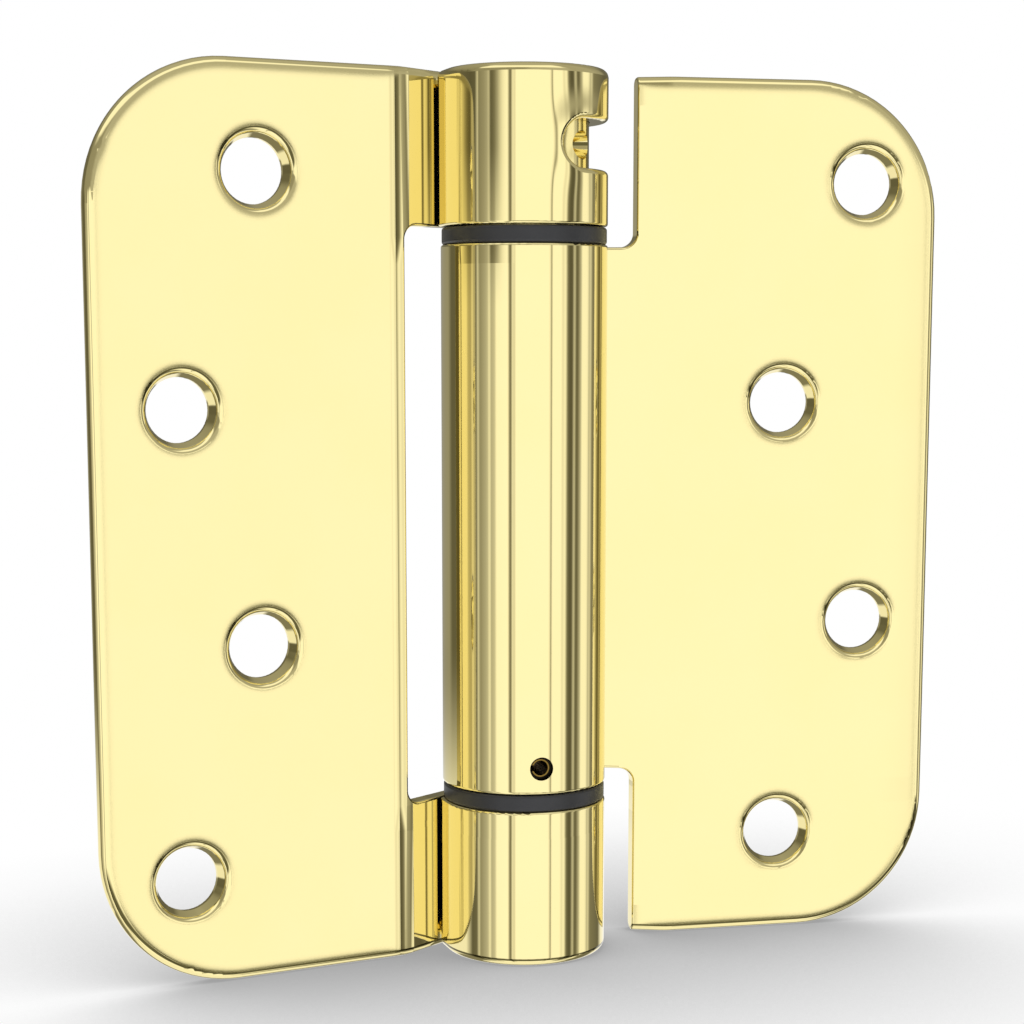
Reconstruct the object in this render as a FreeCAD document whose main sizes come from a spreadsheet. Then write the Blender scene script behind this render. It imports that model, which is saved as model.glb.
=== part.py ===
"""Adjustable spring hinge: two rolled leaves, a torsion spring in the barrel and its tension cap.

Millimetres, +Z up along the pin axis, which is x = y = 0. The hinge stands on its lower edge at z = 0,
opened nearly flat, with the countersunk faces and the barrel towards -Y.
"""
import FreeCAD, Part

import math
import os
import re

import Sketcher

DIMENSIONS = {
    # leaf stock
    "hinge_height": 101.6,
    "leaf_reach": 50.8,
    "leaf_thickness": 2.1,
    "leaf_set_back": 1.65,
    "corner_radius": 15.875,
    "edge_round_share": 0.45,
    "notch_edge_round": 0.3,
    "rest_swing": 15.0,
    # rolled barrel and knuckles, with the joggle and the notch beside them
    "barrel_radius": 9.525,
    "knuckle_leaf_bend_clearance": 5.8,
    "knuckle_leaf_notch_inset": 1.22,
    "barrel_leaf_bend_clearance": 9.3,
    "barrel_leaf_notch_inset": 4.7,
    "bend_radius": 2.6,
    "notch_radius": 1.6,
    "tail_turn": 8.3,
    "tail_gap": 0.3,
    "top_knuckle": 17.4,
    "bottom_knuckle": 18.1,
    # screw holes
    "hole_end_inset": 11.9,
    "hole_middle_pitch": 26.4,
    "hole_diameter": 7.15,
    "hole_mouth": 8.35,
    "hole_land": 0.5,
    "hole_rim_round": 0.75,
    "knuckle_leaf_inner_margin": 19.2,
    "knuckle_leaf_outer_margin": 10.2,
    "barrel_leaf_inner_margin": 18.9,
    "barrel_leaf_outer_margin": 8.9,
    # bearings between the knuckles
    "flange_thickness": 1.95,
    "flange_inset": 0.1,
    "flange_round": 0.35,
    "end_play": 0.1,
    "sleeve_length": 6.0,
    "sleeve_wall": 1.95,
    "press_clearance": 0.02,
    "running_clearance": 0.05,
    # tension cap in the top knuckle
    "cap_clearance": 0.09,
    "cap_recess": 0.8,
    "cap_chamfer": 0.5,
    "socket_flats": 6.35,
    "socket_depth": 5.0,
    "cap_hole": 3.2,
    "cap_hole_depth": 3.4,
    "cap_hole_count": 4,
    "cap_hole_turn": 64.0,
    "slot_drop": 8.5,
    "slot_height": 5.4,
    "slot_start": 19.0,
    "slot_end": 125.0,
    "slot_edge_round": 0.6,
    # torsion spring and the slotted noses that hold its ends
    "wire_diameter": 2.6,
    "coil_clearance": 0.7,
    "coil_turns": 11,
    "end_bend_radius": 1.8,
    "bar_inset": 0.3,
    "nose_clearance": 0.5,
    "nose_length": 5.0,
    "seat_slot_clearance": 0.3,
    "shank_overrun": 0.6,
    "anchor_height": 9.0,
    # slotted roll pin
    "pin_inset": 3.0,
    "pin_hole": 2.7,
    "pin_diameter": 2.64,
    "pin_wall": 0.45,
    "pin_slit": 0.7,
    "pin_recess": 0.7,
    # plug of the bottom knuckle
    "plug_thickness": 3.0,
    "plug_recess": 0.6,
    "plug_chamfer": 0.4,
}

doc = FreeCAD.newDocument("spring_hinge")
sheet = doc.addObject("Spreadsheet::Sheet", "dims")
for row, (name, size) in enumerate(DIMENSIONS.items(), start=1):
    sheet.set(f"A{row}", name)
    sheet.set(f"B{row}", str(size))
    sheet.setAlias(f"B{row}", name)
doc.recompute()


def bound(rule):
    """The rule with each dimension's name pointing into the sheet."""
    return re.sub("[a-z_]+", lambda word: f"dims.{word[0]}" if word[0] in DIMENSIONS else word[0], rule)


def size_of(rule):
    return float(sheet.evalExpression(bound(rule)))


# Heights and radii that several pieces share, each a rule on the driving dimensions.
BORE = "(barrel_radius - leaf_thickness)"
EDGE_ROUND = "(edge_round_share * leaf_thickness)"
BARREL_BOTTOM = "(bottom_knuckle + flange_thickness + end_play)"
TOP_KNUCKLE_BOTTOM = "(hinge_height - top_knuckle)"
BARREL_TOP = f"({TOP_KNUCKLE_BOTTOM} - flange_thickness - end_play)"
SLOT_CENTRE = "(hinge_height - slot_drop)"
PRESSED_IN = f"({BORE} - press_clearance)"
SLEEVE_BORE = f"({PRESSED_IN} - sleeve_wall)"
SHANK = f"({SLEEVE_BORE} - running_clearance)"
CAP_BOTTOM = f"({BARREL_TOP} + flange_thickness + end_play / 2)"
CAP_SHANK_END = f"({BARREL_TOP} - sleeve_length - shank_overrun)"
ANCHOR_TOP = f"({BARREL_BOTTOM} + anchor_height)"
PIN_HEIGHT = f"({BARREL_BOTTOM} + pin_inset)"
COIL = f"({BORE} - coil_clearance - wire_diameter / 2)"
COIL_BOTTOM = f"({ANCHOR_TOP} + wire_diameter / 2 + seat_slot_clearance)"
COIL_TOP = f"({CAP_SHANK_END} - wire_diameter / 2 - seat_slot_clearance)"
NOSE = f"({COIL} - wire_diameter / 2 - nose_clearance)"
SEAT_SLOT = "(wire_diameter + seat_slot_clearance)"
BAR_TURN = f"asin(end_bend_radius / ({COIL} - end_bend_radius))"


class Drawing:
    """A sketch on one of the body's own planes, drawn to size and then tied to the sheet."""

    def __init__(self, body, name, plane, lift=None, turn=None):
        self.sketch = body.newObject("Sketcher::SketchObject", name)
        origin = next(item for item in body.Origin.OriginFeatures if item.Role == plane)
        self.sketch.AttachmentSupport = [(origin, "")]
        self.sketch.MapMode = "FlatFace"
        if turn is not None:
            turned = FreeCAD.Rotation(FreeCAD.Vector(0, 1, 0), size_of(turn))
            self.sketch.AttachmentOffset = FreeCAD.Placement(FreeCAD.Vector(), turned)
            self.sketch.setExpression("AttachmentOffset.Rotation.Angle", bound(turn))
        if lift is not None:
            self.sketch.setExpression("AttachmentOffset.Base.z", bound(lift))
        doc.recompute()

    def line(self, start, end):
        geo = self.sketch.addGeometry(Part.LineSegment(vector(start), vector(end)), False)
        return {"geo": geo, "start": 1, "end": 2}

    def arc(self, centre, start, end, turns_left):
        """An arc from start to end; turns_left means counter-clockwise."""
        radius = math.dist(centre, start)
        first = math.atan2(start[1] - centre[1], start[0] - centre[0])
        last = math.atan2(end[1] - centre[1], end[0] - centre[0])
        low, high = (first, last) if turns_left else (last, first)
        circle = Part.Circle(vector(centre), FreeCAD.Vector(0, 0, 1), radius)
        geo = self.sketch.addGeometry(Part.ArcOfCircle(circle, low, high), False)
        return {"geo": geo, "start": 1 if turns_left else 2, "end": 2 if turns_left else 1}

    def circle(self, centre_rules, diameter_rule):
        x, y = (size_of(rule) for rule in centre_rules)
        circle = Part.Circle(FreeCAD.Vector(x, y, 0), FreeCAD.Vector(0, 0, 1), size_of(diameter_rule) / 2)
        geo = self.sketch.addGeometry(circle, False)
        self.tie("Diameter", [geo], diameter_rule)
        self.place((geo, 3), centre_rules)
        return geo

    def rule(self, kind, *where):
        self.sketch.addConstraint(Sketcher.Constraint(kind, *where))

    def tie(self, kind, where, rule):
        """A dimension whose value follows a rule on the sheet."""
        index = self.sketch.addConstraint(Sketcher.Constraint(kind, *where, size_of(rule)))
        self.sketch.setExpression(f"Constraints[{index}]", bound(rule))

    def place(self, point, rules):
        """Holds a point at the given x and y rules; a rule of 0 puts it on the axis."""
        for kind, axis, rule in (("DistanceX", -2, rules[0]), ("DistanceY", -1, rules[1])):
            if rule == "0":
                self.rule("PointOnObject", *point, axis)
            elif rule is not None:
                self.tie(kind, [-1, 1, *point], rule)

    def join(self, first, second, smooth=False):
        kind = "Tangent" if smooth else "Coincident"
        self.rule(kind, first["geo"], first["end"], second["geo"], second["start"])

    def polygon(self, corners):
        """A closed outline of straight sides, one pair of rules for each corner."""
        points = [tuple(size_of(rule) for rule in pair) for pair in corners]
        sides = [self.line(points[i], points[(i + 1) % len(points)]) for i in range(len(points))]
        for side, following, pair in zip(sides, sides[1:] + sides[:1], corners):
            self.join(side, following)
            self.place((side["geo"], side["start"]), pair)


def vector(point):
    return FreeCAD.Vector(point[0], point[1], 0)


def new_body(label):
    body = doc.addObject("PartDesign::Body", label)
    body.Label = label
    return body


def pad(body, drawing, length):
    feature = body.newObject("PartDesign::Pad", "Pad")
    feature.Profile = drawing.sketch
    feature.setExpression("Length", bound(length))
    doc.recompute()
    return feature


def pocket(body, drawing, length=None, both_ways=False, upwards=False):
    """Cuts the drawing out of the body and checks that something came away."""
    before = body.Shape.Volume
    feature = body.newObject("PartDesign::Pocket", "Pocket")
    feature.Profile = drawing.sketch
    feature.Reversed = upwards
    if length is None:
        feature.Type = "ThroughAll"
        feature.SideType = "Symmetric" if both_ways else "One side"
    else:
        feature.setExpression("Length", bound(length))
    doc.recompute()
    if body.Shape.Volume > before - 1e-3:
        raise RuntimeError(f"{feature.Name} in {body.Label} cuts nothing")
    return feature


def revolve(body, drawing):
    """Turns a half section about the drawing's vertical axis."""
    feature = body.newObject("PartDesign::Revolution", "Revolution")
    feature.Profile = drawing.sketch
    feature.ReferenceAxis = (drawing.sketch, ["V_Axis"])
    feature.Angle = 360
    doc.recompute()
    return feature


def dress(body, kind, edges, prop, rule):
    """A fillet or chamfer on the body's named edges."""
    feature = body.newObject(f"PartDesign::{kind}", kind)
    feature.Base = (body.Tip if body.Tip is not feature else feature.BaseFeature, edges)
    feature.setExpression(prop, bound(rule))
    doc.recompute()
    return feature


def edges_where(body, test):
    return [f"Edge{i}" for i, edge in enumerate(body.Shape.Edges, start=1) if test(edge)]


def along_y(edge):
    ends = [vertex.Point for vertex in edge.Vertexes]
    return len(ends) == 2 and math.hypot(ends[0].x - ends[1].x, ends[0].z - ends[1].z) < 1e-4


def bend_reach_rule(label):
    return f"(barrel_radius + {label}_bend_clearance)"


def notch_reach_rule(label):
    return f"({bend_reach_rule(label)} - {label}_notch_inset)"


def leaf_section(body, side):
    """The leaf seen from above: flat, bent back past the barrel, and rolled round to a straight tail.

    side is +1 for a leaf towards +X and -1 for one towards -X.
    """
    bend_rule = bend_reach_rule(body.Label)
    reach, thickness, set_back = (size_of(n) for n in ("leaf_reach", "leaf_thickness", "leaf_set_back"))
    bend_reach, bend_radius = size_of(bend_rule), size_of("bend_radius")
    outer, inner = size_of("barrel_radius"), size_of(BORE)
    bend_depth = set_back + thickness + bend_radius
    to_bend = math.hypot(bend_reach, bend_depth)
    slope = math.asin((outer + bend_radius) / to_bend) - math.atan2(bend_depth, bend_reach)
    tail = math.radians(size_of("tail_turn"))
    tail_length = (inner - size_of("tail_gap") - outer * math.sin(tail + slope)) / math.cos(tail + slope)

    def at(x, y):
        return (side * x, y)

    def off_bend(radius):
        return at(bend_reach - radius * math.sin(slope), bend_depth - radius * math.cos(slope))

    def on_roll(radius, run=0.0):
        across, along = math.cos(tail), math.sin(tail)
        return at(radius * across - run * along, radius * along + run * across)

    def behind(radius):
        return at(radius * math.sin(slope), radius * math.cos(slope))

    draw = Drawing(body, "leaf_section", "XY_Plane")
    bend, pin = at(bend_reach, bend_depth), (0, 0)
    left = side > 0
    front = draw.line(at(reach, set_back), at(bend_reach, set_back))
    front_bend = draw.arc(bend, at(bend_reach, set_back), off_bend(bend_radius + thickness), not left)
    front_slope = draw.line(off_bend(bend_radius + thickness), behind(inner))
    bore = draw.arc(pin, behind(inner), on_roll(inner), left)
    tail_inside = draw.line(on_roll(inner), on_roll(inner, tail_length))
    tail_end = draw.line(on_roll(inner, tail_length), on_roll(outer, tail_length))
    tail_outside = draw.line(on_roll(outer, tail_length), on_roll(outer))
    roll = draw.arc(pin, on_roll(outer), behind(outer), not left)
    back_slope = draw.line(behind(outer), off_bend(bend_radius))
    back_bend = draw.arc(bend, off_bend(bend_radius), at(bend_reach, set_back + thickness), left)
    back = draw.line(at(bend_reach, set_back + thickness), at(reach, set_back + thickness))
    edge = draw.line(at(reach, set_back + thickness), at(reach, set_back))

    chain = [front, front_bend, front_slope, bore, tail_inside, tail_end,
             tail_outside, roll, back_slope, back_bend, back, edge]
    square = (tail_inside, tail_end, back, edge)
    for first, second in zip(chain, chain[1:] + chain[:1]):
        draw.join(first, second, smooth=first not in square)
    for arc in (bore, roll):
        draw.rule("Coincident", arc["geo"], 3, -1, 1)
    draw.rule("Coincident", front_bend["geo"], 3, back_bend["geo"], 3)
    draw.rule("Horizontal", front["geo"])
    draw.rule("Horizontal", back["geo"])
    draw.rule("Vertical", edge["geo"])
    draw.rule("Parallel", tail_inside["geo"], tail_outside["geo"])
    draw.rule("Perpendicular", tail_inside["geo"], tail_end["geo"])
    sign = "" if left else "-1 * "
    draw.place((front["geo"], 1), (f"{sign}leaf_reach", "leaf_set_back"))
    draw.place((front_bend["geo"], 3), (f"{sign}{bend_rule}", None))
    draw.place((bore["geo"], bore["end"]), (None, f"{BORE} * sin(tail_turn)"))
    draw.tie("Radius", [front_bend["geo"]], "bend_radius + leaf_thickness")
    draw.tie("Radius", [back_bend["geo"]], "bend_radius")
    draw.tie("Radius", [bore["geo"]], BORE)
    draw.tie("Radius", [roll["geo"]], "barrel_radius")
    draw.tie("Distance", [tail_outside["geo"], tail_outside["start"], front_slope["geo"]], "tail_gap")
    return draw


def hole_heights():
    """The rules for the four hole heights, from the lower end up."""
    middle = "hinge_height / 2"
    return ["hole_end_inset", f"{middle} - hole_middle_pitch / 2", f"{middle} + hole_middle_pitch / 2",
            "hinge_height - hole_end_inset"]


def sink_holes(body, sign, rows):
    """Four screw holes through the leaf, with a soft rimmed cone opening on the front face."""
    draw = Drawing(body, "screw_holes", "XZ_Plane", lift="-1 * leaf_set_back")
    for row, height in zip(rows, hole_heights()):
        draw.circle((sign + row, height), "hole_diameter")
    hole = body.newObject("PartDesign::Hole", "Hole")
    hole.Profile = draw.sketch
    doc.recompute()
    hole.ThreadType = "None"
    hole.DepthType = "ThroughAll"
    hole.setExpression("Diameter", bound("hole_diameter"))
    hole.HoleCutType = "Countersink"
    hole.HoleCutCustomValues = True
    hole.setExpression("HoleCutDiameter", bound("hole_mouth"))
    cone = "2 * atan((hole_mouth - hole_diameter) / 2 / (leaf_thickness - hole_land))"
    hole.setExpression("HoleCutCountersinkAngle", bound(cone))
    doc.recompute()
    mouth, face = size_of("hole_mouth") / 2, size_of("leaf_set_back")

    def on_rim(edge):
        round_edge = isinstance(edge.Curve, Part.Circle) and abs(edge.Curve.Radius - mouth) < 1e-3
        return round_edge and abs(edge.CenterOfMass.y - face) < 1e-3

    dress(body, "Fillet", edges_where(body, on_rim), "Radius", "hole_rim_round")


def rounded_outline(body, side):
    """Rounds the edges where a sheared face meets the front or back of the sheet, more so outside."""
    height = size_of("hinge_height")
    last_corner = size_of("leaf_reach") - size_of("corner_radius")

    def sheared(face):
        if isinstance(face.Surface, Part.Cylinder):
            return abs(face.Surface.Axis.y) > 0.99
        normal = face.normalAt(0, 0)
        return abs(normal.z) > 0.99 or abs(normal.x) > 0.999

    def skin(face):
        if isinstance(face.Surface, Part.Cylinder):
            return abs(face.Surface.Axis.z) > 0.99
        return not sheared(face) and abs(face.normalAt(0, 0).y) > 0.5

    thickness = size_of("leaf_thickness")

    def outline(edge):
        faces = body.Shape.ancestorsOfType(edge, Part.Face)
        tail_end = isinstance(edge.Curve, Part.Line) and abs(edge.Length - thickness) < 1e-3
        return not tail_end and any(sheared(face) for face in faces) and any(skin(face) for face in faces)

    def outer(edge):
        middle = edge.CenterOfMass
        return min(middle.z, height - middle.z) < 1e-3 or side * middle.x > last_corner

    dress(body, "Fillet", edges_where(body, lambda edge: outline(edge) and outer(edge)), "Radius", EDGE_ROUND)
    dress(body, "Fillet", edges_where(body, lambda edge: outline(edge) and not outer(edge)), "Radius",
          "notch_edge_round")


def rolled_leaf(label, side, gaps, rows):
    """A leaf with the stretches in gaps cut away beside the pin, its corners rounded and holes sunk."""
    body = new_body(label)
    pad(body, leaf_section(body, side), "hinge_height")
    sign = "" if side > 0 else "-1 * "

    cut = Drawing(body, "knuckle_gaps", "XZ_Plane")
    for low, high in gaps:
        near, far = f"{sign}{notch_reach_rule(label)}", f"{sign}-2 * barrel_radius"
        cut.polygon([(near, low), (near, high), (far, high), (far, low)])
    pocket(body, cut, both_ways=True)

    reach, height = size_of("leaf_reach"), size_of("hinge_height")
    notch = size_of(notch_reach_rule(label))

    def outer_corner(edge):
        return along_y(edge) and abs(edge.CenterOfMass.x - side * reach) < 1e-3

    def notch_edge(edge):
        return along_y(edge) and abs(edge.CenterOfMass.x - side * notch) < 1e-3

    def inside(edge):
        return 1e-3 < edge.CenterOfMass.z < height - 1e-3

    dress(body, "Fillet", edges_where(body, outer_corner), "Radius", "corner_radius")
    corners = edges_where(body, lambda edge: notch_edge(edge) and inside(edge))
    dress(body, "Fillet", corners, "Radius", "notch_radius")
    rounded_outline(body, side)
    sink_holes(body, sign, rows)
    return body


def cut_tension_slot(body):
    """The round-ended slot part of the way round the top knuckle."""
    draw = Drawing(body, "slot_sweep", "XZ_Plane", turn="slot_start - 90")
    low, high = f"{SLOT_CENTRE} - slot_height / 2", f"{SLOT_CENTRE} + slot_height / 2"
    near, far = f"{BORE} - 1", "barrel_radius + 1"
    draw.polygon([(near, low), (far, low), (far, high), (near, high)])
    before = body.Shape.Volume
    groove = body.newObject("PartDesign::Groove", "Groove")
    groove.Profile = draw.sketch
    groove.ReferenceAxis = (draw.sketch, ["V_Axis"])
    groove.setExpression("Angle", bound("slot_end - slot_start"))
    doc.recompute()
    if body.Shape.Volume > before - 1e-3:
        raise RuntimeError("the slot cuts nothing")
    for end in ("slot_start", "slot_end"):
        round_end = Drawing(body, "slot_end", "XZ_Plane", turn=end)
        round_end.circle(("0", SLOT_CENTRE), "slot_height")
        pocket(body, round_end, upwards=True)
    outside, low, high = (size_of(rule) for rule in ("barrel_radius", low, high))

    def mouth(edge):
        on_skin = any(isinstance(face.Surface, Part.Cylinder) and abs(face.Surface.Radius - outside) < 1e-3
                      for face in body.Shape.ancestorsOfType(edge, Part.Face))
        box = edge.BoundBox
        return on_skin and low - 1e-3 < box.ZMin and box.ZMax < high + 1e-3

    dress(body, "Fillet", edges_where(body, mouth), "Radius", "slot_edge_round")


def bearing(label, face):
    """A flanged nylon bush standing in the upper end of a knuckle, at the height of that end's face."""
    body = new_body(label)
    draw = Drawing(body, "bush_section", "XZ_Plane")
    flange, sleeve = f"{face} + flange_thickness", f"{face} - sleeve_length"
    rim = "barrel_radius - flange_inset"
    draw.polygon([
        (SLEEVE_BORE, flange), (rim, flange), (rim, face),
        (PRESSED_IN, face), (PRESSED_IN, sleeve), (SLEEVE_BORE, sleeve)])
    revolve(body, draw)
    edge_radius = size_of(rim)

    def rim_edge(edge):
        return isinstance(edge.Curve, Part.Circle) and abs(edge.Curve.Radius - edge_radius) < 1e-3

    dress(body, "Fillet", edges_where(body, rim_edge), "Radius", "flange_round")
    return body


def seat_slot(body, low, turn):
    """The slot across a nose that holds one end bar of the spring."""
    draw = Drawing(body, "seat_slot", "XZ_Plane", turn=turn)
    half, top = f"{SEAT_SLOT} / 2", f"{low} + nose_length"
    draw.polygon([(f"-1 * {half}", low), (half, low), (half, top), (f"-1 * {half}", top)])
    pocket(body, draw, both_ways=True)


def tension_cap():
    """The cap that winds the spring: hexagon socket, ring of tommy holes, shank and slotted nose."""
    body = new_body("tension_cap")
    draw = Drawing(body, "cap_section", "XZ_Plane")
    top, rim = "hinge_height - cap_recess", f"{BORE} - cap_clearance"
    nose_end = f"{CAP_SHANK_END} - nose_length"
    draw.polygon([
        ("0", nose_end), (NOSE, nose_end), (NOSE, CAP_SHANK_END), (SHANK, CAP_SHANK_END),
        (SHANK, CAP_BOTTOM), (rim, CAP_BOTTOM), (rim, f"{top} - cap_chamfer"),
        (f"{rim} - cap_chamfer", top), ("0", top)])
    revolve(body, draw)

    hexagon = Drawing(body, "hexagon_socket", "XY_Plane", lift=top)
    corner = "socket_flats / 2 / cos(30)"
    hexagon.polygon([(f"{corner} * cos({60 * i})", f"{corner} * sin({60 * i})") for i in range(6)])
    pocket(body, hexagon, "socket_depth")

    tommy = Drawing(body, "tommy_hole", "XZ_Plane", lift=f"{rim} - cap_hole_depth", turn="cap_hole_turn")
    tommy.circle(("0", SLOT_CENTRE), "cap_hole")
    bore = pocket(body, tommy, upwards=True)
    ring = body.newObject("PartDesign::PolarPattern", "TommyHoles")
    ring.Originals = [bore]
    ring.Axis = (draw.sketch, ["V_Axis"])
    ring.Angle = 360
    ring.setExpression("Occurrences", bound("cap_hole_count"))
    body.Tip = ring
    doc.recompute()
    seat_slot(body, nose_end, f"(90 - rest_swing) * 1 deg - {BAR_TURN}")
    return body


def spring_anchor():
    """The plug pinned in the barrel's lower end: lower bearing's shank and spring's lower seat."""
    body = new_body("spring_anchor")
    draw = Drawing(body, "anchor_section", "XZ_Plane")
    shank_end = "bottom_knuckle - sleeve_length - shank_overrun"
    nose_end = f"{ANCHOR_TOP} + nose_length"
    draw.polygon([
        ("0", shank_end), (SHANK, shank_end), (SHANK, BARREL_BOTTOM), (PRESSED_IN, BARREL_BOTTOM),
        (PRESSED_IN, ANCHOR_TOP), (NOSE, ANCHOR_TOP), (NOSE, nose_end), ("0", nose_end)])
    revolve(body, draw)
    pin_bore(body)
    seat_slot(body, ANCHOR_TOP, f"90 deg + {BAR_TURN}")
    return body


def pin_bore(body):
    draw = Drawing(body, "pin_bore", "XZ_Plane")
    draw.circle(("0", PIN_HEIGHT), "pin_hole")
    pocket(body, draw, both_ways=True)


def anchor_pin():
    """A slotted roll pin across the barrel, a little short of flush at both ends."""
    body = new_body("anchor_pin")
    draw = Drawing(body, "pin_section", "XZ_Plane")
    draw.circle(("0", PIN_HEIGHT), "pin_diameter")
    draw.circle(("0", PIN_HEIGHT), "pin_diameter - 2 * pin_wall")
    pad(body, draw, "2 * (barrel_radius - pin_recess)").Midplane = True
    slit = Drawing(body, "pin_slit", "XZ_Plane")
    low, high = f"{PIN_HEIGHT} - pin_slit / 2", f"{PIN_HEIGHT} + pin_slit / 2"
    slit.polygon([("-1 * pin_diameter", low), ("0", low), ("0", high), ("-1 * pin_diameter", high)])
    pocket(body, slit, both_ways=True)
    return body


def end_bar(body, height, side):
    """Bends the wire's end inwards and straight across the pin axis; side is +1 where it leaves to +Y."""
    start = Drawing(body, "bar_start", "XZ_Plane")
    start.circle((COIL, height), "wire_diameter")
    path = Drawing(body, "bar_path", "XY_Plane", lift=height)
    bar_reach = f"{NOSE} - bar_inset"
    coil, bend, reach = (size_of(rule) for rule in (COIL, "end_bend_radius", bar_reach))
    turn = math.asin(bend / (coil - bend))
    meet = (coil - bend) * math.cos(turn)
    inwards = (-math.cos(turn), -side * math.sin(turn))
    hook = path.arc((coil - bend, 0), (coil, 0), (-meet * inwards[0], -meet * inwards[1]), side > 0)
    bar = path.line((-meet * inwards[0], -meet * inwards[1]), (reach * inwards[0], reach * inwards[1]))
    path.join(hook, bar, smooth=True)
    path.rule("PointOnObject", hook["geo"], 3, -1)
    path.rule("PointOnObject", -1, 1, bar["geo"])
    path.tie("Radius", [hook["geo"]], "end_bend_radius")
    path.place((hook["geo"], hook["start"]), (COIL, "0"))
    path.tie("Distance", [-1, 1, bar["geo"], bar["end"]], bar_reach)
    pipe = body.newObject("PartDesign::AdditivePipe", "EndBar")
    pipe.Profile = start.sketch
    pipe.Spine = path.sketch
    doc.recompute()


def torsion_spring():
    """A left-hand coil, so that opening the hinge and turning the cap clockwise both wind it tighter."""
    body = new_body("torsion_spring")
    wire = Drawing(body, "wire_section", "XZ_Plane")
    wire.circle((COIL, COIL_BOTTOM), "wire_diameter")
    coil = body.newObject("PartDesign::AdditiveHelix", "Coil")
    coil.Profile = wire.sketch
    coil.ReferenceAxis = (wire.sketch, ["V_Axis"])
    coil.Mode = "height-turns-angle"
    coil.LeftHanded = True
    coil.setExpression("Height", bound(f"{COIL_TOP} - {COIL_BOTTOM}"))
    coil.setExpression("Turns", bound("coil_turns"))
    doc.recompute()
    end_bar(body, COIL_BOTTOM, 1)
    end_bar(body, COIL_TOP, -1)
    return body


def bottom_plug():
    """The button that closes the bottom knuckle."""
    body = new_body("bottom_plug")
    draw = Drawing(body, "plug_section", "XZ_Plane")
    low, high = "plug_recess", "plug_recess + plug_thickness"
    draw.polygon([
        ("0", low), (f"{PRESSED_IN} - plug_chamfer", low), (PRESSED_IN, f"{low} + plug_chamfer"),
        (PRESSED_IN, high), ("0", high)])
    revolve(body, draw)
    return body


def swing_to_rest(piece):
    """Turns a piece of the right leaf's side about the pin to the resting angle."""
    piece.Placement = FreeCAD.Placement(FreeCAD.Vector(), FreeCAD.Rotation(FreeCAD.Vector(0, 0, 1), 0))
    piece.setExpression("Placement.Rotation.Angle", bound("-1 * rest_swing"))


def check_pieces(pieces):
    """Every object's state and each piece's shape, before anything is written."""
    for item in doc.Objects:
        if {"Invalid", "Error"} & set(item.State):
            raise RuntimeError(f"{item.Label} failed: {item.State}")
    for piece in pieces:
        if piece.Shape.isNull() or not piece.Shape.isValid() or len(piece.Shape.Solids) != 1:
            raise RuntimeError(f"{piece.Label} is not one valid solid")
        print(f"{piece.Label}: {piece.Shape.Volume:.1f} mm3")


knuckle_rows = [f"(leaf_reach - knuckle_leaf_{row}_margin)" for row in ("outer", "inner") * 2]
barrel_rows = [f"(leaf_reach - barrel_leaf_{row}_margin)" for row in ("inner", "outer") * 2]
between_knuckles = [("bottom_knuckle", TOP_KNUCKLE_BOTTOM)]
past_the_barrel = [("-1", BARREL_BOTTOM), (BARREL_TOP, "hinge_height + 1")]
knuckle_leaf = rolled_leaf("knuckle_leaf", -1, between_knuckles, knuckle_rows)
cut_tension_slot(knuckle_leaf)
barrel_leaf = rolled_leaf("barrel_leaf", 1, past_the_barrel, barrel_rows)
pin_bore(barrel_leaf)

upper_bearing = bearing("upper_bearing", BARREL_TOP)
anchor = spring_anchor()
pin = anchor_pin()
spring = torsion_spring()
turning = [barrel_leaf, upper_bearing, anchor, pin, spring]
lower_bearing = bearing("lower_bearing", "bottom_knuckle")
fixed = [knuckle_leaf, lower_bearing, bottom_plug(), tension_cap()]
for piece in turning:
    swing_to_rest(piece)
doc.recompute()

check_pieces(turning + fixed)
os.makedirs("parts", exist_ok=True)
for piece in turning + fixed:
    piece.Shape.exportStep(f"parts/{piece.Label}.step")
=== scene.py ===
"""The spring hinge in polished brass, standing half open on a white table under soft studio light."""

import math

import bpy
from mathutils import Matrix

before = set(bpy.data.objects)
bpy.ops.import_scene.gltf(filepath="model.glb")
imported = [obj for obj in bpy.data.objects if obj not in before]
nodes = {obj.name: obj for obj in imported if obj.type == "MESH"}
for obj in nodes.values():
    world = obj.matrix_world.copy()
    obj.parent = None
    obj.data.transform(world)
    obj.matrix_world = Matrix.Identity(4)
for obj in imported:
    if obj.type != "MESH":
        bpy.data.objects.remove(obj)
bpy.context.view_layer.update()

scene = bpy.context.scene

# Places on the hinge at rest, in metres from the pin axis, which stands at x = y = 0, and up from the table.
# The barrel leaf lies REST_SWING out of the knuckle leaf's plane.
REST_SWING = math.radians(15.0)
MID_HEIGHT = 0.0508
FOOT_HEIGHT = 0.0015
END_ZONE = 0.0475
JOGGLE_REACH = 0.03
NOTCH_CORNER = (0.0143, 0.0185)
NOTCH_HEIGHT = 0.0489
NOTCH_EDGE = (0.031, 0.034)
BARREL_RADIUS = 0.009525
UNDER_SKIN = 0.0094
OVER_SKIN = 0.0097
PIN_HEIGHT = 0.02315
PIN_HOLE_REACH = 0.0016
PIN_FACE_RADIUS = 0.00102
SLOT_HEIGHT = 0.0931
SLOT_END_TURN = math.radians(19.0)
SLOT_END_RADIUS = 0.0027
SWELL_WIDTH = 0.0022
EDGE_EASE = 0.0014

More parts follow.
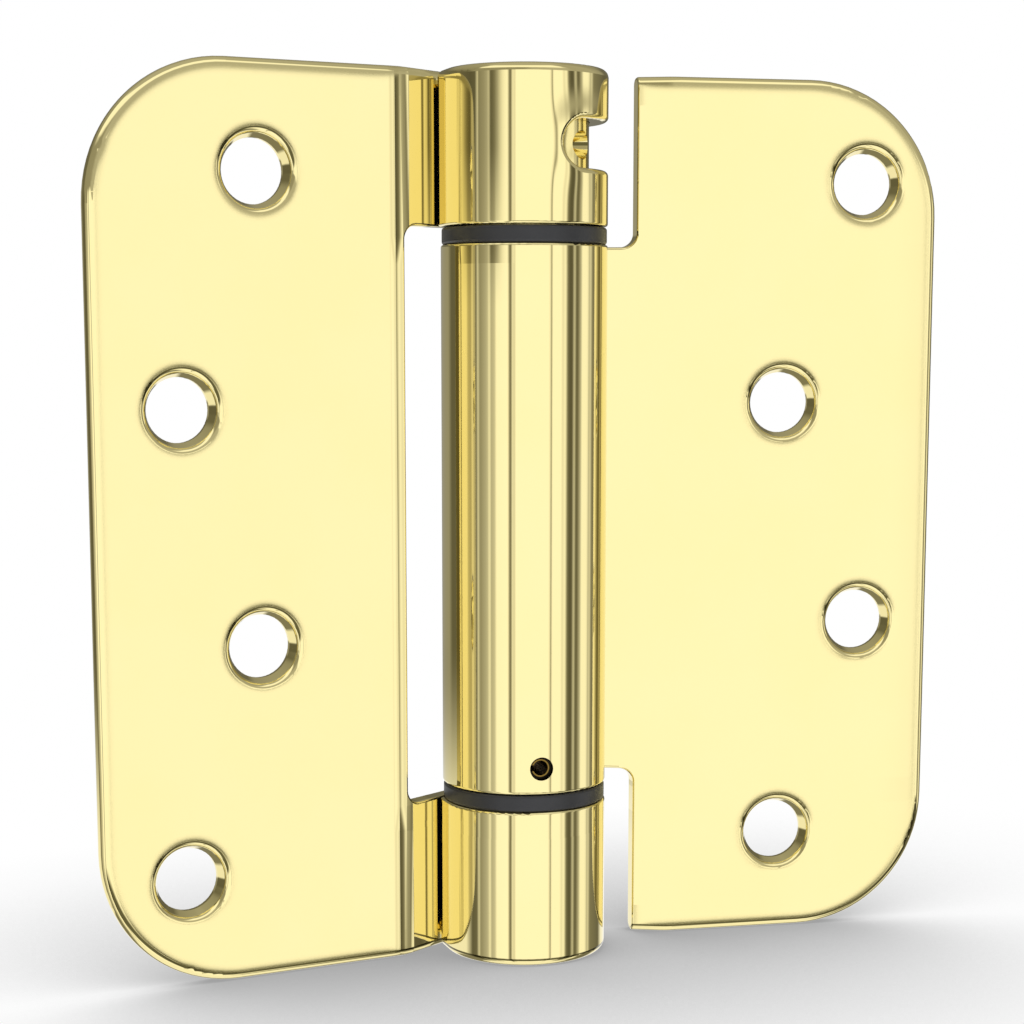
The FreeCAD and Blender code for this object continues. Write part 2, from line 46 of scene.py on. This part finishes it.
# The skin that the press draws out over the joggles, in millimetres. Each stretch of the left one runs from
# start to end, right of x = -LEFT_START, and its rise per millimetre goes from first to last. Beside the
# notch it rises more. The right one rises evenly at its root, RIGHT_START from the pin.
LEFT_START = 16.3
LEFT_STRETCHES = [
    (0.2, 0.85, 0.0, -0.062), (0.85, 1.05, -0.062, -0.055), (1.05, 1.55, -0.055, 0.044),
    (1.55, 2.1, 0.044, 0.154), (2.1, 2.65, 0.154, 0.283), (2.65, 2.85, 0.283, 0.337),
    (2.85, 3.2, 0.294, 0.315), (3.2, 4.8, 0.315, 0.368), (4.8, 5.6, 0.345, 0.325), (5.6, 6.3, 0.325, 0.077)]
NOTCH_START, NOTCH_LENGTH, NOTCH_RISE = 0.4, 1.5, 0.045
RIGHT_START, RIGHT_LENGTH, RIGHT_RISE = 14.0, 3.5, 0.1
SWELL_RISE = 0.12

# Linear colours
BRASS = (0.86, 0.75, 0.36)
TURNED_BRASS = (0.84, 0.72, 0.32)
PAINTED_HOLE_SHADE = (0.03, 0.022, 0.01)
PAINTED_EDGE_SHADE = (0.1, 0.085, 0.028)
# Plated steel's amber tone, darkened as painted shade for the pin that sits deep in its hole.
PLATED_STEEL_DARKENED_AS_SHADE = (0.26, 0.165, 0.035)
PAINTED_PIN_SHADOW = (0.012, 0.01, 0.006)
OILED_WIRE = (0.16, 0.155, 0.15)
NYLON = (0.018, 0.018, 0.019)
WORN_NYLON = (0.032, 0.032, 0.033)


def opaque(colour, scale=(1.0, 1.0, 1.0)):
    return tuple(c * k for c, k in zip(colour, scale)) + (1.0,)


class Tree:
    """A node tree with short calls for the nodes that the materials share."""

    def __init__(self, tree):
        self.tree = tree
        tree.nodes.clear()

    def add(self, kind, inputs=None, **settings):
        node = self.tree.nodes.new(kind)
        for name, value in settings.items():
            setattr(node, name, value)
        for name, value in (inputs or {}).items():
            self.feed(node.inputs[name], value)
        return node

    def feed(self, socket, value):
        if isinstance(value, bpy.types.NodeSocket):
            self.tree.links.new(value, socket)
        else:
            socket.default_value = value

    def math(self, operation, *values):
        node = self.add("ShaderNodeMath", operation=operation)
        for socket, value in zip(node.inputs, values):
            self.feed(socket, value)
        return node.outputs[0]

    def times(self, a, b):
        return self.math("MULTIPLY", a, b)

    def minus(self, a, b):
        return self.math("SUBTRACT", a, b)

    def scaled(self, value, scale, offset):
        return self.math("MULTIPLY_ADD", value, scale, offset)

    def below(self, value, limit):
        return self.math("LESS_THAN", value, limit)

    def above(self, value, limit):
        return self.math("GREATER_THAN", value, limit)

    def gap(self, a, b):
        return self.math("ABSOLUTE", self.minus(a, b))

    def length(self, a, b):
        return self.math("SQRT", self.math("ADD", self.times(a, a), self.times(b, b)))

    def within(self, value, low, high):
        return self.add("ShaderNodeClamp", {"Value": value, "Min": low, "Max": high}).outputs[0]

    def fade(self, value, span, first, last):
        """The level first up to the start of the span, and last from its end on."""
        return self.add("ShaderNodeMapRange", {"Value": value, "From Min": span[0], "From Max": span[1],
                                               "To Min": first, "To Max": last}).outputs[0]

    def split(self, vector):
        return self.add("ShaderNodeSeparateXYZ", {"Vector": vector}).outputs

    def mix(self, factor, a, b, blend="MIX"):
        node = self.add("ShaderNodeMix", data_type="RGBA", blend_type=blend)
        self.feed(node.inputs[0], factor)
        self.feed(node.inputs[6], a)
        self.feed(node.inputs[7], b)
        return node.outputs[2]

    def ramp(self, factor, stops):
        """A grey or coloured ramp through (position, level or colour) stops."""
        node = self.add("ShaderNodeValToRGB", {"Fac": factor})
        band = node.color_ramp
        while len(band.elements) < len(stops):
            band.elements.new(0.5)
        for element, (place, level) in zip(band.elements, stops):
            element.position = place
        for element, (place, level) in zip(band.elements, stops):
            element.color = level if isinstance(level, tuple) else opaque((level, level, level))
        return node.outputs[0]

    def noise(self, vector, scale, detail=3.0, roughness=0.5):
        return self.add("ShaderNodeTexNoise", {"Vector": vector, "Scale": scale, "Detail": detail,
                                               "Roughness": roughness}).outputs[0]

    def place(self, stretch=(1.0, 1.0, 1.0)):
        """Points of the piece itself, in metres, stretched for grain that runs one way."""
        coordinates = self.add("ShaderNodeTexCoord").outputs["Object"]
        return self.add("ShaderNodeMapping", {"Vector": coordinates, "Scale": stretch}).outputs[0]


def material(name):
    made = bpy.data.materials.new(name)
    made.use_nodes = True
    return made, Tree(made.node_tree)


def surfaced(t, inputs):
    shader = t.add("ShaderNodeBsdfPrincipled", inputs)
    t.add("ShaderNodeOutputMaterial", {"Surface": shader.outputs[0]})


def bumped(t, height, inputs):
    return t.add("ShaderNodeBump", {"Height": height, **inputs}).outputs[0]


def along_barrel_leaf(t, x, y):
    """Distance from the pin axis along the barrel leaf."""
    return t.minus(t.times(x, math.cos(REST_SWING)), t.times(y, math.sin(REST_SWING)))


def lacquer(t, tone, roughness, haze):
    """Colour and roughness of the lacquered brass: faint clouds, and a deeper, duller tone in its recesses."""
    cloud = t.noise(t.place(), 55.0, 4.0, 0.55)
    close = t.add("ShaderNodeAmbientOcclusion", {"Distance": 0.0012}, samples=4).outputs["AO"]
    recess = t.ramp(close, [(0.35, 1.0), (0.8, 0.0)])
    deep = opaque(tone, (0.8, 0.74, 0.6))
    warm = opaque(tone, (1.0, 0.994, 0.965))
    body = t.mix(t.ramp(cloud, [(0.4, 0.0), (0.62, 1.0)]), opaque(tone), warm)
    colour = t.mix(t.times(recess, 0.06), body, deep)
    rough = t.scaled(cloud, haze, roughness - haze / 2)
    return colour, t.scaled(recess, 0.03, rough)


def leaf_likeness(t, facing):
    """How squarely a surface faces as the flat of one of the leaves does, from 0 to 1."""
    ways = ((0.0, 1.0, 0.0), (math.sin(REST_SWING), math.cos(REST_SWING), 0.0))
    dots = [t.math("ABSOLUTE", t.add("ShaderNodeVectorMath", {0: facing, 1: way},
                                     operation="DOT_PRODUCT").outputs["Value"]) for way in ways]
    return t.math("MAXIMUM", *dots)


def eased_normal(t, facing, likeness, off_pin, z):
    """The normal, softened on the flats and at both ends of the joggles, and fading out at the notch's corner."""
    upright = t.below(t.math("ABSOLUTE", t.split(facing)[2]), 0.003)
    at_end = t.above(t.gap(z, MID_HEIGHT), END_ZONE)
    by_joggle = t.times(t.times(upright, at_end), t.below(off_pin, JOGGLE_REACH))
    on_flat = t.math("MAXIMUM", t.above(likeness, 0.9999), by_joggle)
    on_flat = t.times(on_flat, t.fade(off_pin, NOTCH_CORNER, 0.0, 1.0))
    own = t.add("ShaderNodeNewGeometry").outputs["Normal"]
    return t.mix(on_flat, own, t.add("ShaderNodeBevel", {"Radius": EDGE_EASE}, samples=8).outputs[0])


def painted_edge_shade_line(t, normal, likeness, z):
    """1 along the line where an outer edge begins to turn under, where the brass is painted dark as shade."""
    tilt = t.scaled(t.split(normal)[2], 0.5, 0.5)
    line = t.ramp(tilt, [(0.355, 0.0), (0.375, 1.0), (0.455, 1.0), (0.482, 0.0)])
    return t.times(line, t.math("MAXIMUM", t.above(likeness, 0.93), t.below(z, FOOT_HEIGHT)))


def slot_swell(t, x, y, z, off_pin):
    """A low ridge on the top knuckle round the slot's punched end, 1 at its crest."""
    turn = t.math("ARCTAN2", x, t.times(y, -1.0))
    along = t.math("MINIMUM", t.times(t.minus(turn, SLOT_END_TURN), BARREL_RADIUS), 0.0)
    away = t.minus(t.length(along, t.minus(z, SLOT_HEIGHT)), SLOT_END_RADIUS)
    away = t.times(away, 1.0 / SWELL_WIDTH)
    ridge = t.math("EXPONENT", t.times(t.times(away, away), -1.0))
    return t.times(ridge, t.below(off_pin, OVER_SKIN))


def drawn_skin(t, x, y, z):
    """Height of the drawn skin on the left joggle's bend and slope and on the right one's root."""
    u = t.scaled(x, 1000.0, LEFT_START)
    drawn = 0.0
    for start, end, first, last in LEFT_STRETCHES:
        reach = t.within(t.minus(u, start), 0.0, end - start)
        curl = (last - first) / 2.0 / (end - start)
        drawn = t.scaled(reach, t.scaled(reach, curl, first), drawn)
    beside_notch = t.within(t.minus(u, NOTCH_START), 0.0, NOTCH_LENGTH)
    drawn = t.scaled(beside_notch, t.fade(t.gap(z, NOTCH_HEIGHT), NOTCH_EDGE, NOTCH_RISE, 0.0), drawn)
    root = t.within(t.scaled(along_barrel_leaf(t, x, y), -1000.0, RIGHT_START), 0.0, RIGHT_LENGTH)
    return t.scaled(root, RIGHT_RISE, drawn)


def polished_brass(name, tone, roughness, haze):
    """Lacquered brass: a clear polish with faint buffing lines.

    The flats roll off softly into the rounded outline, with a painted line of shade where an outer edge turns
    under. The skin swells a little round the punched slot and is drawn out over both joggles. Inside the pin's
    hole the brass is painted dark as shade.
    """
    made, t = material(name)
    colour, rough = lacquer(t, tone, roughness, haze)

    x, y, z = t.split(t.place())
    off_pin = t.length(x, y)
    # Painted shade: inside the pin's hole the brass colour is made near black.
    painted_hole_shade_mask = t.times(t.below(off_pin, UNDER_SKIN), t.below(t.gap(z, PIN_HEIGHT), PIN_HOLE_REACH))
    colour = t.mix(painted_hole_shade_mask, colour, opaque(PAINTED_HOLE_SHADE))

    facing = t.add("ShaderNodeTexCoord").outputs["Normal"]
    likeness = leaf_likeness(t, facing)
    eased = eased_normal(t, facing, likeness, off_pin, z)
    # Painted shade: a dark line along the edges that turn under.
    colour = t.mix(painted_edge_shade_line(t, eased, likeness, z), colour, opaque(PAINTED_EDGE_SHADE))

    fine = t.noise(t.place((18.0, 18.0, 1.0)), 900.0, 2.0)
    buffed = bumped(t, fine, {"Strength": 0.01, "Distance": 0.00002, "Normal": eased})
    skin = t.scaled(slot_swell(t, x, y, z, off_pin), SWELL_RISE, drawn_skin(t, x, y, z))
    pressed = bumped(t, skin, {"Distance": 0.001, "Normal": buffed})
    surfaced(t, {"Base Color": colour, "Metallic": 1.0, "Roughness": rough, "Normal": pressed})
    return made


def black_nylon():
    made, t = material("moulded_nylon")
    grain = t.noise(t.place(), 3200.0, 3.0, 0.6)
    colour = t.mix(t.noise(t.place(), 160.0, 2.0), opaque(NYLON), opaque(WORN_NYLON))
    rough = t.scaled(grain, 0.16, 0.34)
    bump = bumped(t, grain, {"Strength": 0.25, "Distance": 0.00004})
    surfaced(t, {"Base Color": colour, "Roughness": rough, "Normal": bump})
    return made


def steel(name, tone, roughness, grain_scale, strength, face_radius=None):
    """Drawn or turned steel. Beyond face_radius from its own axis the roll pin's colour is painted near black as
    shadow.
    """
    made, t = material(name)
    grain = t.noise(t.place((1.0, 1.0, 0.12)), grain_scale, 3.0, 0.6)
    patches = t.ramp(t.noise(t.place(), 220.0, 3.0), [(0.35, 0.0), (0.7, 1.0)])
    colour = t.mix(patches, opaque(tone), opaque(tone, (0.72, 0.72, 0.72)))
    if face_radius:
        x, y, z = t.split(t.place())
        off_axis = t.length(along_barrel_leaf(t, x, y), t.minus(z, PIN_HEIGHT))
        # Painted shadow: the roll pin darkened beyond its face radius.
        colour = t.mix(t.above(off_axis, face_radius), colour, opaque(PAINTED_PIN_SHADOW))
    rough = t.scaled(grain, 0.2, roughness)
    bump = bumped(t, grain, {"Strength": strength, "Distance": 0.00003})
    surfaced(t, {"Base Color": colour, "Metallic": 1.0, "Roughness": rough, "Normal": bump})
    return made


finishes = {
    "polished_brass": polished_brass("polished_brass_plate", BRASS, 0.03, 0.015),
    "cap_brass": polished_brass("turned_brass", TURNED_BRASS, 0.08, 0.04),
    "black_nylon": black_nylon(),
    "plated_steel": steel("plated_steel_pin", PLATED_STEEL_DARKENED_AS_SHADE, 0.2, 1800.0, 0.2, PIN_FACE_RADIUS),
    "spring_wire": steel("oiled_spring_wire", OILED_WIRE, 0.28, 2600.0, 0.35),
}
for node in nodes.values():
    slot = node.material_slots[0].name.split(".")[0]
    node.material_slots[0].material = finishes[slot]

# The studio that the polish reflects. In front stands a white wall with upright dark flags that draw the long
# streaks on the barrel, with grey above it, a ceiling and one soft box. Behind, the room is darker, with a
# white panel low in it. The floor is white. Light levels run by degrees, round or up.
WHITE_WALL = 1.24
WHITE_FLOOR = 1.12
SOFT_BOX = 1.2
CEILING = 0.5
FILL = 0.95
LEFT_END, SEAM, RIGHT_END = -110, -15, 112

world = bpy.data.worlds.new("white_studio")
scene.world = world
world.use_nodes = True
w = Tree(world.node_tree)
axes = w.split(w.add("ShaderNodeTexCoord").outputs["Generated"])
turn = w.scaled(w.math("ARCTAN2", axes[0], w.times(axes[1], -1.0)), 0.5 / math.pi, 0.5)
height = w.scaled(axes[2], 0.5, 0.5)


def grey(level):
    """A grey that grows a little warmer as it darkens and cooler as it brightens."""
    warmth = min(max((0.5 - level) / 0.4, 0.0), 1.0)
    coolness = min(max((level - 0.8) / 0.4, 0.0), 1.0)
    green = level * (1 - 0.035 * warmth + 0.012 * coolness)
    blue = level * (1 - 0.25 * warmth + 0.07 * coolness)
    return opaque((level, green, blue))


def turned(stops):
    """Levels by degrees from straight ahead of the hinge, positive towards its right leaf."""
    return w.ramp(turn, [((angle + 180.0) / 360.0, grey(level)) for angle, level in stops])


def raised(stops):
    """Levels by degrees above the horizon."""
    return w.ramp(height, [((math.sin(math.radians(angle)) + 1.0) / 2.0, grey(level)) for angle, level in stops])


def stretch(low, high, stops):
    """Levels by degrees as in turned, in a finer ramp for the stretch from low to high."""
    share = w.scaled(turn, 360.0 / (high - low), -(180.0 + low) / (high - low))
    return w.ramp(share, [((angle - low) / (high - low), grey(level)) for angle, level in stops])


wall_left = stretch(LEFT_END, SEAM, [
    (-106, 0.14), (-98, 0.17), (-95.5, 0.46), (-94.3, 0.8), (-92, 0.44), (-90.3, 0.34), (-87, 0.41),
    (-82, 0.51), (-79, 0.63), (-77.2, 0.95), (-75.3, 0.93), (-73.8, 0.56), (-70.5, 0.63), (-68.5, 0.72),
    (-67, 1.0), (-65.5, 1.2), (-50.3, WHITE_WALL), (-49, 0.93), (-47.3, 0.32), (-46, 0.21), (-45, 0.39),
    (-43.4, 1.0), (-41.2, 0.85), (-39.9, 0.94), (-38.5, WHITE_WALL), (SEAM, WHITE_WALL)])
wall_left_high = stretch(LEFT_END, SEAM, [
    (-106, 0.12), (-98, 0.14), (-95.5, 0.48), (-94.2, 0.72), (-92, 0.28), (-84, 0.36), (-79, 0.46),
    (-77.2, 0.64), (-75.3, 0.4), (-74, 0.15), (-71, 0.17), (-68, 0.24), (-64, 0.44), (-60, 0.78), (-57, 1.0),
    (-54, 1.12), (-50.3, 1.2), (-49, 0.7), (-47.3, 0.25), (-46, 0.2), (-45, 0.38), (-43.4, 1.0),
    (-41.2, 0.98), (-39.9, 0.93), (-38.5, WHITE_WALL), (SEAM, WHITE_WALL)])
wall_right = stretch(SEAM, RIGHT_END, [
    (SEAM, WHITE_WALL), (7, WHITE_WALL), (8.8, 1.02), (10.7, 0.37), (12.4, 1.18), (14, 1.22), (24.5, 1.22),
    (27.6, 0.97), (31.3, 1.16), (33, 0.79), (34.3, 0.39), (36, 0.19), (39, 0.12), (42.5, 0.13), (45.5, 0.57),
    (47, 0.56), (48.7, 0.23), (51, 0.15), (53, 0.23), (57.2, 0.56), (60.3, 1.16), (68.5, 1.16), (71, 1.06),
    (74.2, 0.6), (76.5, 0.78), (78.5, 0.65), (80.5, 0.32), (83, 0.24), (RIGHT_END, 0.14)])
wall_left = w.mix(raised([(0.5, 0.0), (4.5, 1.0)]), wall_left, wall_left_high)
wall = w.mix(w.above(turn, (SEAM + 180.0) / 360.0), wall_left, wall_right)
grey_above = turned([(-180, 0.33), (-100, 0.33), (-30, 0.35), (-15, 0.52), (30, 0.54), (45, 0.44),
                     (80, 0.46), (110, 0.33)])
front = w.mix(raised([(7, 0.0), (10, 1.0)]), wall, grey_above)
front = w.mix(raised([(-64, 1.0), (-56, 0.0)]), front, grey(WHITE_FLOOR))

behind = raised([(-90, WHITE_FLOOR), (-64, 1.1), (-58, 0.25), (-40, 0.25), (-34, 1.05), (-13, 1.05),
                 (-8, 0.16), (22, 0.16), (34, 0.32), (60, 0.39)])
back_wall = turned([(-180, 0.34), (-158, 0.34), (-148, 0.14), (148, 0.14), (158, 0.34), (180, 0.34)])
behind = w.mix(raised([(-12, 0.0), (-8, 1.0), (6, 1.0), (10, 0.0)]), behind, back_wall)
round_back = turned([(-118, 1.0), (-106, 0.0), (106, 0.0), (118, 1.0)])

seen = w.mix(round_back, front, behind)
seen = w.mix(raised([(60, 0.0), (68, 1.0)]), seen, grey(CEILING))
box = w.mix(1.0, turned([(-108, 0.0), (-95, 1.0), (32, 1.0), (42, 0.0)]),
            raised([(32, 0.0), (40, 1.0), (60, 1.0), (66, 0.0)]), "MULTIPLY")
seen = w.mix(box, seen, grey(SOFT_BOX))
path = w.add("ShaderNodeLightPath").outputs
shiny = w.math("MAXIMUM", path["Is Glossy Ray"], path["Is Transmission Ray"])
level = w.mix(shiny, opaque((FILL, FILL, FILL)), seen)
level = w.mix(path["Is Camera Ray"], level, opaque((1.0, 1.0, 1.0)))
w.add("ShaderNodeOutputWorld",
      {"Surface": w.add("ShaderNodeBackground", {"Color": level, "Strength": 1.0}).outputs[0]})

# The table: white to the camera, with a soft contact shadow of the hinge painted on it from the openness round
# each point, and unseen by the polish.
TABLE_REACH = 6.0
SHADE_REACH = 0.07
table_mesh = bpy.data.meshes.new("table")
corners = [(x * TABLE_REACH, y * TABLE_REACH, 0.0) for x, y in ((-1, -1), (1, -1), (1, 1), (-1, 1))]
table_mesh.from_pydata(corners, [], [(0, 1, 2, 3)])
table = bpy.data.objects.new("table", table_mesh)
scene.collection.objects.link(table)
cloth, t = material("white_table")
openness = t.add("ShaderNodeAmbientOcclusion", {"Distance": SHADE_REACH}, samples=16).outputs["AO"]
# Painted shadow: the table's glow to the camera darkens where the hinge closes it in.
tone = t.ramp(openness, [(0.35, 0.36), (0.62, 0.56), (0.85, 0.82), (0.97, 1.0)])
painted_shadow_to_camera = t.add("ShaderNodeEmission", {"Color": tone, "Strength": 1.0})
lit = t.add("ShaderNodeBsdfDiffuse", {"Color": opaque((0.8, 0.8, 0.8))})
clear = t.add("ShaderNodeBsdfTransparent")
rays = t.add("ShaderNodeLightPath").outputs
inner = t.add("ShaderNodeMixShader", {0: rays["Is Glossy Ray"], 1: lit.outputs[0], 2: clear.outputs[0]})
outer = t.add("ShaderNodeMixShader", {0: rays["Is Camera Ray"], 1: inner.outputs[0], 2: painted_shadow_to_camera.outputs[0]})
t.add("ShaderNodeOutputMaterial", {"Surface": outer.outputs[0]})
table_mesh.materials.append(cloth)

# The camera, fitted to the photograph: a little left of the hinge, looking slightly down at it. The focal
# length and the upward shift are in pixels of the picture.
PICTURE_SIZE = 1024.0
FOCAL_LENGTH = 2224.956
UP_SHIFT = 128.0
SENSOR_WIDTH = 36.0
LOOK_DOWN = 8.029
LOOK_RIGHT = 27.1
lens = bpy.data.cameras.new("camera")
lens.sensor_width = SENSOR_WIDTH
lens.lens = SENSOR_WIDTH * FOCAL_LENGTH / PICTURE_SIZE
lens.shift_y = UP_SHIFT / PICTURE_SIZE
lens.clip_start = 0.01
camera = bpy.data.objects.new("camera", lens)
scene.collection.objects.link(camera)
camera.location = (-0.118626, -0.228759, 0.073009)
camera.rotation_euler = (math.radians(90.0 - LOOK_DOWN), 0.0, math.radians(-LOOK_RIGHT))
scene.camera = camera
scene.view_settings.view_transform = "Standard"
